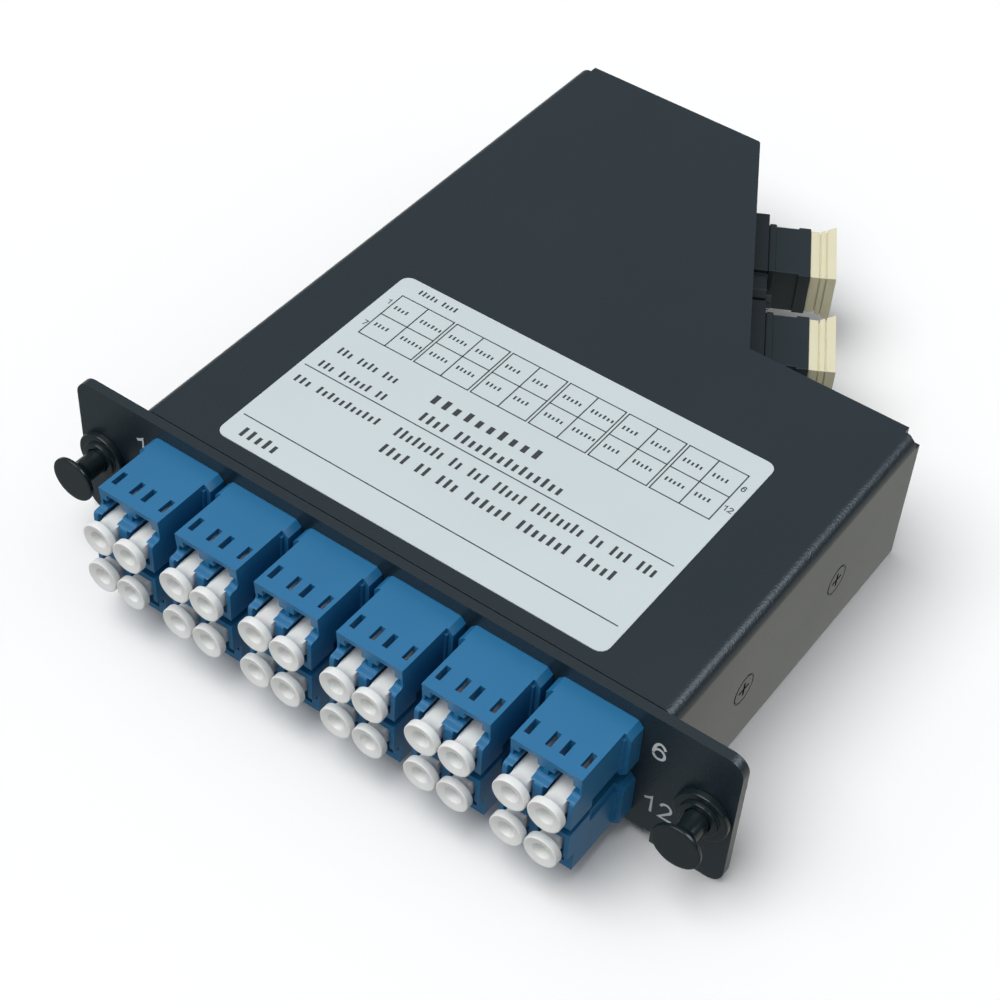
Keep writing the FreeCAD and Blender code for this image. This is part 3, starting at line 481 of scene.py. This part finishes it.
def numeral(name, text, height, weight, centre, across, up, depth):
    """A plain number drawn with a stroke of even weight. Each point of a stroke is set out half the weight
    to both sides, along the mean of the normals of its two segments and further where they turn, so that
    the band keeps its width; two levels of the band make it a closed solid that stands out by the depth.
    A digit's second stroke is a little lower than its first, so that no two faces lie in one place."""
    across, up = np.array(across, float), np.array(up, float)
    out = np.cross(across, up)
    points, faces = [], []
    strokes = [(place, stroke, level) for place, digit in enumerate(text)
               for level, stroke in enumerate(STROKES[digit])]
    for place, stroke, level in strokes:
        path = np.array(stroke) * height
        path[:, 0] += (place - (len(text) - 1) / 2) * DIGIT_PITCH * height
        runs = np.diff(path, axis=0)
        runs /= np.linalg.norm(runs, axis=1)[:, None]
        normals = np.stack([-runs[:, 1], runs[:, 0]], 1)
        normals = np.vstack([normals[:1], normals[:-1] + normals[1:], normals[-1:]])
        lengths = np.linalg.norm(normals, axis=1)
        lengths[[0, -1]] = 2
        normals *= (np.minimum(2 / lengths, MITRE_LIMIT) / lengths)[:, None]
        normals[[0, -1]] *= 2
        path[0] -= runs[0] * weight * STROKE_OVERRUN
        path[-1] += runs[-1] * weight * STROKE_OVERRUN
        count = len(path)
        first = len(points)
        for rise in (0, depth * (1 - LEVEL_DROP * level)):
            for side in (1, -1):
                flat = path + normals * side * weight / 2
                points += list((flat[:, :1] * across + flat[:, 1:] * up) * MM + np.array(centre) + out * rise)
        for step in range(count - 1):
            left, right = first + step, first + count + step
            upper = 2 * count
            faces += [(left, left + 1, right + 1, right),
                      (right + upper, right + 1 + upper, left + 1 + upper, left + upper),
                      (left + upper, left + 1 + upper, left + 1, left),
                      (right, right + 1, right + 1 + upper, right + upper)]
        for end in (0, count - 1):
            left, right = first + end, first + count + end
            ring = (left, right, right + 2 * count, left + 2 * count)
            faces.append(ring if end == 0 else ring[::-1])
    mesh = bpy.data.meshes.new(name)
    mesh.from_pydata([tuple(point) for point in points], [], faces)
    piece = bpy.data.objects.new(name, mesh)
    bpy.context.scene.collection.objects.link(piece)
    return piece


for text, x, y in LABEL_NUMBERS:
    piece = numeral("label_number_" + text, text, LABEL_NUMBER_HEIGHT, LABEL_NUMBER_WEIGHT,
                    (x * MM, y * MM, label_top), (1, 0, 0), (0, 1, 0), INK_HEIGHT)
    seat(piece, ink.material, "label_paper", "cassette")


# ---- Port numbers on the plate -------------------------------------------------------------------
# Silk screened in pale grey beside the first and last port of each row.

SILK_COLOUR = (0.70, 0.73, 0.73, 1)
SILK_SHADE = (0.58, 0.61, 0.61, 1)
NUMBER_HEIGHT = 4.0
NUMBER_WEIGHT = 0.47
NUMBER_DEPTH = 0.03 * MM
PLATE_NUMBERS = (("1", -50.6, 7.6), ("7", -51.3, -5.4), ("6", 51.2, 7.45), ("12", 52.55, -5.35))

silk = Finish("silk_screen", Roughness=0.45)
silk.drive("Base Color", silk.blend(silk.noise(0.3 * MM), SILK_COLOUR, SILK_SHADE))
plate_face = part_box("base_tray")[0].y
for text, x, z in PLATE_NUMBERS:
    piece = numeral("plate_number_" + text, text, NUMBER_HEIGHT, NUMBER_WEIGHT,
                    (x * MM, plate_face, z * MM), (1, 0, 0), (0, 0, 1), NUMBER_DEPTH)
    seat(piece, silk.material, "powder_coated_steel", "cassette")


# ---- Duplex adapters -----------------------------------------------------------------------------
# Twelve moulded blue housings snapped into the plate, each with two ports. The lower six are turned over,
# so their latch side faces down.

BLUE_COLOUR = (0.018, 0.165, 0.350, 1)
BLUE_SHADE = (0.014, 0.145, 0.320, 1)
ADAPTERS = 12
MOULD_ROUNDING = 0.13 * MM

blue = Finish("blue_plastic", Roughness=0.38, IOR=1.5)
flow = blue.noise(9 * MM, detail=2, stretch=(1, 0.4, 1))
skin = blue.noise(0.25 * MM, detail=2)
blue.drive("Base Color", blue.blend(flow, BLUE_COLOUR, BLUE_SHADE))
blue.drive("Roughness", 0.34 + flow * 0.10)
blue.emboss(skin, 0.10, 0.02 * MM)
for number in range(1, ADAPTERS + 1):
    node = "lc_adapter_%02d" % number
    piece = softened("duplex_adapter_%02d" % number, node, MOULD_ROUNDING)
    seat(piece, blue.material, "blue_plastic", "cassette", node)


# ---- Dust caps of the duplex ports ---------------------------------------------------------------
# Twenty-four soft white plastic caps, each a round head on a short neck with a square plug that fills
# the port. The head is moulded with a blind hole.

CAP_COLOUR = (0.86, 0.87, 0.86, 1)
CAP_SHADE = (0.80, 0.81, 0.79, 1)
CAPS, CAP_ROUND = 24, 40
HEAD_LENGTH, HEAD_ROUNDING = 1.45, 0.16
HOLE_RADIUS, HOLE_DEPTH, HOLE_END, HOLE_FLOOR_EDGE = 1.45, 2.2, 1.05, (0.15, 0.2)
DISH, DISH_EDGE = 0.28, (0.25, 0.04, 0.12)
SHOULDER, FLARE_LENGTH, NECK_RADIUS, NECK_END = 2.58, 2.3, 1.8, 8.6
PLUG_HALF, PLUG_CORNER, PLUG_STEP = 2.2, 0.3, 0.4
# How far each ring is drawn out towards a square: the end of the flare, then the neck and the plug.
FLARE_SQUARENESS = [0.05, 0.15, 0.3, 0.45, 0.58, 0.65]
NECK_SQUARENESS, PLUG_SQUARENESS = 0.65, 0.88
WELD_TURNED = 0.0005 * MM
CREASE = math.radians(32)

cap_plastic = Finish("cap_plastic", Roughness=0.42, Subsurface_Weight=0.15, Subsurface_Scale=0.0012)
milky = cap_plastic.noise(4 * MM, detail=2)
cap_plastic.drive("Base Color", cap_plastic.blend(milky, CAP_COLOUR, CAP_SHADE))
cap_plastic.drive("Roughness", 0.38 + milky * 0.10)
cap_plastic.emboss(cap_plastic.noise(0.4 * MM), 0.08, 0.02 * MM)


def turned(name, profile, around, centre, squareness=None, axis=(0, 1, 0), start=0.0, stop=None):
    """A profile turned about an axis through the centre. The profile is a list of (distance along the
    axis, radius); a radius of 0 closes the end in a single point. Each ring is a circle, or where its
    squareness is above 0, it is drawn out towards the square round that circle:
    radius(angle) = r * (1 + squareness * (1 / max(|cos|, |sin|) - 1)).
    With a stop angle the profile is a closed loop, swept from start to stop and capped at both ends."""
    along, radius = np.array(profile, float).T * MM
    whole = stop is None
    turns = np.linspace(start, start + 2 * math.pi if whole else stop, around, endpoint=not whole)
    square = np.zeros(len(along)) if squareness is None else np.asarray(squareness, float)
    reach = 1 / np.maximum(np.abs(np.cos(turns)), np.abs(np.sin(turns))) - 1
    rings = radius[:, None] * (1 + square[:, None] * reach[None, :])
    forward = Vector(axis).normalized()
    side = forward.cross(Vector((0, 0, 1))).normalized()
    up = side.cross(forward)
    points = (np.array(centre)[None, None]
              + along[:, None, None] * np.array(forward)
              + (rings * np.cos(turns))[:, :, None] * np.array(side)
              + (rings * np.sin(turns))[:, :, None] * np.array(up))
    count = len(along)
    index = np.arange(count * around).reshape(count, around)
    if whole:
        lower, upper = index[:-1], index[1:]
        quads = np.stack([lower, upper, np.roll(upper, -1, 1), np.roll(lower, -1, 1)], -1)
        faces = quads.reshape(-1, 4).tolist()
        ends = []
    else:
        lower, upper = index, np.roll(index, -1, 0)
        quads = np.stack([lower[:, :-1], upper[:, :-1], upper[:, 1:], lower[:, 1:]], -1)
        faces = quads.reshape(-1, 4).tolist()
        ends = [index[:, 0].tolist(), index[::-1, -1].tolist()]
    mesh = bpy.data.meshes.new(name)
    mesh.from_pydata(points.reshape(-1, 3).tolist(), [], faces + ends)
    shape = bmesh.new()
    shape.from_mesh(mesh)
    bmesh.ops.remove_doubles(shape, verts=shape.verts, dist=WELD_TURNED)
    bmesh.ops.recalc_face_normals(shape, faces=shape.faces)
    for face in shape.faces:
        face.smooth = True
    shape.to_mesh(mesh)
    shape.free()
    mesh.set_sharp_from_angle(angle=CREASE)
    piece = bpy.data.objects.new(name, mesh)
    bpy.context.scene.collection.objects.link(piece)
    return piece


for number in range(1, CAPS + 1):
    node = "lc_dust_cap_%02d" % number
    low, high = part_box(node)
    middle = (low + high) / 2
    length = (high.y - low.y) / MM
    head = (high.z - low.z) / 2 / MM
    quarter = np.linspace(0, math.pi / 2, 4)
    rounded = list(zip(HEAD_ROUNDING * (1 - np.cos(quarter)), HEAD_ROUNDING * (1 - np.sin(quarter))))
    profile = [(HOLE_DEPTH, 0.0), (HOLE_DEPTH, HOLE_END - HOLE_FLOOR_EDGE[1]),
               (HOLE_DEPTH - HOLE_FLOOR_EDGE[0], HOLE_END), (DISH + DISH_EDGE[0], HOLE_RADIUS),
               (DISH + DISH_EDGE[1], HOLE_RADIUS + DISH_EDGE[2]), (0.05, head - HEAD_ROUNDING - 0.2)]
    profile += [(along, head - inward) for along, inward in rounded]
    profile += [(HEAD_LENGTH - inward, head - along) for along, inward in rounded]
    profile += [(HEAD_LENGTH + FLARE_LENGTH * t, NECK_RADIUS + (SHOULDER - NECK_RADIUS) * (1 - t) ** 2)
                for t in np.linspace(0, 1, 9)]
    squareness = [0.0] * (len(profile) - len(FLARE_SQUARENESS)) + FLARE_SQUARENESS
    profile += [(NECK_END, NECK_RADIUS), (NECK_END + PLUG_STEP, PLUG_HALF),
                (length - PLUG_CORNER, PLUG_HALF), (length, PLUG_HALF - PLUG_CORNER), (length, 0.0)]
    squareness += [NECK_SQUARENESS] + [PLUG_SQUARENESS] * 3 + [0.0]
    piece = turned("dust_cap_%02d" % number, profile, CAP_ROUND, (middle.x, low.y, middle.z), squareness)
    seat(piece, cap_plastic.material, "white_cap_plastic", "cap_%02d" % number, node)


# ---- Push-pull latches ---------------------------------------------------------------------------
# A split black nylon sleeve through each end of the plate, and a plunger with a flat round knob. Pushed
# in, the plunger spreads the sleeve's four legs behind the panel. Both plungers are drawn out here.

NYLON_COLOUR = (0.010, 0.0175, 0.0195, 1)
NYLON_SHADE = (0.011, 0.018, 0.0205, 1)
LATCH_ROUND = 56
PLATE_THICK = 1.8
FLANGE_THICK, FLANGE_ROUNDING = 1.3, 0.28
BOSS_RADIUS, BOSS_RISE, BOSS_ROUNDING = 3.3, 0.6, 0.15
BOSS_FOOT = [(-0.12, 0.02), (0.0, 0.16)]
FLANGE_EDGE = 0.12
THROAT_RADIUS, BARREL_RADIUS, BORE_RADIUS = 2.98, 2.9, 2.16
LEGS, LEG_ROUND, LEG_START, LEG_SLIT = 4, 12, 2.8, 0.14
LEG_THINNER, LEG_STEP, LEG_STEP_END, LEG_TIP, LEG_TIP_INSET = 0.2, 1.2, 1.4, 0.3, 0.35
KNOB_ROUNDING, KNOB_RIM_BACK, KNOB_FLAT = 0.18, 0.78, 0.8
KNOB_DEPTH, KNOB_BACK_RADIUS = 1.3, 3.2
SHANK_RADIUS, SHANK_FLARE, SHANK_FLARE_LENGTH = 2.1, 1.1, 1.4
TIP_LENGTH, TIP_RADIUS, TIP_EDGE = 0.8, 1.35, (0.1, 1.2)

nylon = Finish("black_nylon", Roughness=0.2, IOR=1.5, Specular_IOR_Level=0.42)
swirl = nylon.noise(2.5 * MM, detail=3)
nylon.drive("Base Color", nylon.blend(swirl, NYLON_COLOUR, NYLON_SHADE))
nylon.drive("Roughness", 0.16 + swirl * 0.10)
nylon.emboss(nylon.noise(0.5 * MM), 0.06, 0.02 * MM)


def front_corner(front, radius, rounding, points):
    """The rounded front corner of a turned profile. Its points lie on a quarter circle whose centre is one
    rounding behind the front and one rounding inside the radius."""
    return [(front + rounding - rounding * math.sin(turn), radius - rounding + rounding * math.cos(turn))
            for turn in np.linspace(math.pi / 2, 0, points)]


for side in ("left", "right"):
    low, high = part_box("latch_grommet_" + side)
    centre = ((low.x + high.x) / 2, plate_face, (low.z + high.z) / 2)
    flange = (high.z - low.z) / 2 / MM
    rear = (high.y - plate_face) / MM
    boss_front = -FLANGE_THICK - BOSS_RISE
    legs_from = PLATE_THICK + LEG_START
    ring = [(legs_from, BORE_RADIUS), (boss_front + BOSS_ROUNDING, BORE_RADIUS),
            (boss_front, BORE_RADIUS + BOSS_ROUNDING)]
    ring += front_corner(boss_front, BOSS_RADIUS, BOSS_ROUNDING, 4)
    ring += [(-FLANGE_THICK + along, BOSS_RADIUS + outward) for along, outward in BOSS_FOOT]
    ring += front_corner(-FLANGE_THICK, flange, FLANGE_ROUNDING, 6)
    ring += [(-FLANGE_EDGE, flange), (0.0, flange - FLANGE_EDGE), (0.0, THROAT_RADIUS),
             (PLATE_THICK, THROAT_RADIUS), (PLATE_THICK, BARREL_RADIUS), (legs_from, BARREL_RADIUS),
             (legs_from, BORE_RADIUS)]
    piece = turned("latch_sleeve_" + side, ring, LATCH_ROUND, centre)
    seat(piece, nylon.material, "black_nylon", "cassette", "latch_grommet_" + side)
    thinned = BARREL_RADIUS - LEG_THINNER
    for leg in range(LEGS):
        loop = [(legs_from, BORE_RADIUS), (rear, BORE_RADIUS), (rear, BARREL_RADIUS - LEG_TIP_INSET),
                (rear - LEG_TIP, thinned), (legs_from + LEG_STEP_END, thinned),
                (legs_from + LEG_STEP, BARREL_RADIUS), (legs_from, BARREL_RADIUS)]
        first = leg * math.pi / 2 + LEG_SLIT
        piece = turned("latch_leg_%s_%d" % (side, leg + 1), loop, LEG_ROUND, centre, None, (0, 1, 0), first,
                       first + math.pi / 2 - 2 * LEG_SLIT)
        seat(piece, nylon.material, "black_nylon", "cassette")
    low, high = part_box("latch_plunger_" + side)
    knob = (high.z - low.z) / 2 / MM
    end = (high.y - low.y) / MM
    centre = ((low.x + high.x) / 2, low.y, (low.z + high.z) / 2)
    shank = [(0.02, 0.0), (0.01, knob * KNOB_FLAT)]
    shank += front_corner(0.0, knob, KNOB_ROUNDING, 5)
    shank += [(0.6, knob), (0.72, knob - 0.05), (KNOB_RIM_BACK, knob - KNOB_ROUNDING),
              (KNOB_DEPTH, KNOB_BACK_RADIUS)]
    shank += [(KNOB_DEPTH + SHANK_FLARE_LENGTH * t, SHANK_RADIUS + SHANK_FLARE * (1 - t) ** 2)
              for t in np.linspace(0, 1, 6)]
    shank += [(end - TIP_LENGTH, SHANK_RADIUS), (end - TIP_EDGE[0], TIP_RADIUS), (end, TIP_EDGE[1]),
              (end, 0.0)]
    piece = turned("latch_knob_" + side, shank, LATCH_ROUND, centre)
    seat(piece, nylon.material, "black_nylon", "plunger_" + side, "latch_plunger_" + side)


# ---- Cover screws and adapter screws -------------------------------------------------------------
# Countersunk cross-head screws through the cover's sides, and small pan heads on the rear adapters.
# Steel with a satin black plating, so a head shows by the groove round it and by its cross.

PLATING_COLOUR = (0.010, 0.013, 0.015, 1)
PLATING_WORN = (0.026, 0.029, 0.030, 1)
SCREW_ROUNDING = 0.08 * MM
HEAD_FROM = 1.9 * MM
HEAD_DRAWN_IN = 0.89

plating = Finish("black_zinc", Roughness=0.3, IOR=1.5, Specular_IOR_Level=0.5)
rub = plating.noise(0.5 * MM, detail=4)
plating.drive("Base Color", plating.blend(rub, PLATING_COLOUR, PLATING_WORN))
plating.drive("Roughness", 0.26 + rub * 0.12)
plating.emboss(rub, 0.1, 0.02 * MM)
cover_screws = softened("cover_screw_heads", "cover_screws", SCREW_ROUNDING)
points = np.empty(len(cover_screws.data.vertices) * 3)
cover_screws.data.vertices.foreach_get("co", points)
points = points.reshape(-1, 3)
rear = points[:, 1] > (points[:, 1].min() + points[:, 1].max()) / 2
# Each pair of screws lies on one line across the case. Only points of a head are far enough from it.
for group in (rear, ~rear):
    middle = (points[group, 1:].min(0) + points[group, 1:].max(0)) / 2
    arms = points[group, 1:] - middle
    head = np.linalg.norm(arms, axis=1) > HEAD_FROM
    points[group, 1:] = middle + arms * np.where(head, HEAD_DRAWN_IN, 1)[:, None]
cover_screws.data.vertices.foreach_set("co", points.ravel())
seat(cover_screws, plating.material, "black_zinc_steel", "cassette", "cover_screws")
seat(softened("adapter_screw_heads", "mpo_screws", SCREW_ROUNDING), plating.material, "black_zinc_steel",
     "cassette", "mpo_screws")


# ---- Multi-fibre adapters and their caps ---------------------------------------------------------
# Two dark moulded housings screwed to the slanted wall, each closed by an ivory plastic cap with a flared
# end and two scored lines round it.

HOUSING_COLOUR = (0.009, 0.0185, 0.0245, 1)
HOUSING_SHADE = (0.013, 0.0235, 0.030, 1)
IVORY_COLOUR = (0.78, 0.74, 0.54, 1)
IVORY_SHADE = (0.73, 0.685, 0.48, 1)
HOUSING_ROUNDING, IVORY_ROUNDING = 0.15 * MM, 0.05 * MM
CAP_LENGTH, FLARED_LENGTH, FLARE = 4.7, 3.1, 0.9
LINES, LINE_WIDTH, LINE_DEPTH = (1.6, 2.75), 0.3, 0.36
PLUG_WIDE, PLUG_TALL = 5.15, 3.05

housing = Finish("housing_plastic", Roughness=0.45, Specular_IOR_Level=0.38)
mould = housing.noise(5 * MM, detail=2)
housing.drive("Base Color", housing.blend(mould, HOUSING_COLOUR, HOUSING_SHADE))
housing.drive("Roughness", 0.40 + mould * 0.12)
housing.emboss(housing.noise(0.3 * MM), 0.12, 0.02 * MM)
ivory = Finish("ivory_plastic", Roughness=0.45, Subsurface_Weight=0.1, Subsurface_Scale=0.001)
tint = ivory.noise(5 * MM, detail=2)
ivory.drive("Base Color", ivory.blend(tint, IVORY_COLOUR, IVORY_SHADE))
ivory.drive("Roughness", 0.42 + tint * 0.08)
ivory.emboss(ivory.noise(0.4 * MM), 0.08, 0.02 * MM)


def rectangles(sections, origin, side, up, inward):
    """A closed solid through a run of rectangles. Each is given as its distance inwards from the origin, and
    its half width and half height in millimetres; a corner is origin + inward * distance +- side * half
    width +- up * half height."""
    shape = bmesh.new()
    rings = [[shape.verts.new(origin + (inward * distance + side * (a * wide) + up * (b * tall)) * MM)
              for a, b in ((-1, -1), (1, -1), (1, 1), (-1, 1))] for distance, wide, tall in sections]
    for first, second in zip(rings, rings[1:]):
        for k in range(4):
            shape.faces.new((first[k], first[k - 3], second[k - 3], second[k]))
    shape.faces.new(rings[0])
    shape.faces.new(rings[-1])
    bmesh.ops.recalc_face_normals(shape, faces=shape.faces)
    return shape


for letter in "ab":
    node = "mpo_adapter_" + letter
    seat(softened("rear_adapter_" + letter, node, HOUSING_ROUNDING), housing.material, "mpo_housing_plastic",
         "cassette", node)
    node = "mpo_dust_cap_" + letter
    joint = next(joint for joint in frame["joints"] if joint["name"] == "mpo_cap_pull_" + letter)
    out = Vector(joint["axis"]).normalized()
    up = Vector((0, 0, 1))
    side = up.cross(out)
    places = np.array([vertex.co[:] for vertex in cad_nodes[node].data.vertices])
    reach, span, rise = (places @ np.array(way) for way in (out, side, up))
    across, level = (span.max() + span.min()) / 2, (rise.max() + rise.min()) / 2
    origin = out * reach.max() + side * across + up * level
    wide, tall = (span.max() - span.min()) / 2 / MM, (rise.max() - rise.min()) / 2 / MM
    steps = [(0, 0)]
    for line in LINES:
        steps += [(line, 0), (line, LINE_DEPTH), (line + LINE_WIDTH, LINE_DEPTH), (line + LINE_WIDTH, 0)]
    steps += [(FLARED_LENGTH, 0), (CAP_LENGTH, 0)]
    sections = []
    for distance, sunk in steps:
        drawn_in = FLARE * min(distance / FLARED_LENGTH, 1) + sunk
        sections.append((distance, wide - drawn_in, tall - drawn_in))
    length = (reach.max() - reach.min()) / MM
    sections += [(CAP_LENGTH, PLUG_WIDE, PLUG_TALL), (length, PLUG_WIDE, PLUG_TALL)]
    shape = rectangles(sections, origin, side, up, -out)
    seat(rounded_off("rear_cap_" + letter, shape, IVORY_ROUNDING), ivory.material, "ivory_cap_plastic",
         "mpo_cap_" + letter, node)


# ---- Connectors and fibres inside ----------------------------------------------------------------
# Closed in by the cover: blue connectors behind every port, and aqua fibres dressed to two rear plugs.

JACKET_COLOUR = (0.03, 0.42, 0.46, 1)
JACKET_SHADE = (0.04, 0.50, 0.54, 1)

jacket = Finish("fibre_jacket", Roughness=0.4)
jacket.drive("Base Color", jacket.blend(jacket.noise(3 * MM), JACKET_COLOUR, JACKET_SHADE))
for node, finish in (("inner_plugs_upper", blue), ("inner_plugs_lower", blue), ("mpo_plug_a", housing),
                     ("mpo_plug_b", housing), ("fibre_loom_a", jacket), ("fibre_loom_b", jacket),
                     ("fibre_tails", jacket)):
    cad_nodes[node].data.materials.clear()
    cad_nodes[node].data.materials.append(finish.material)
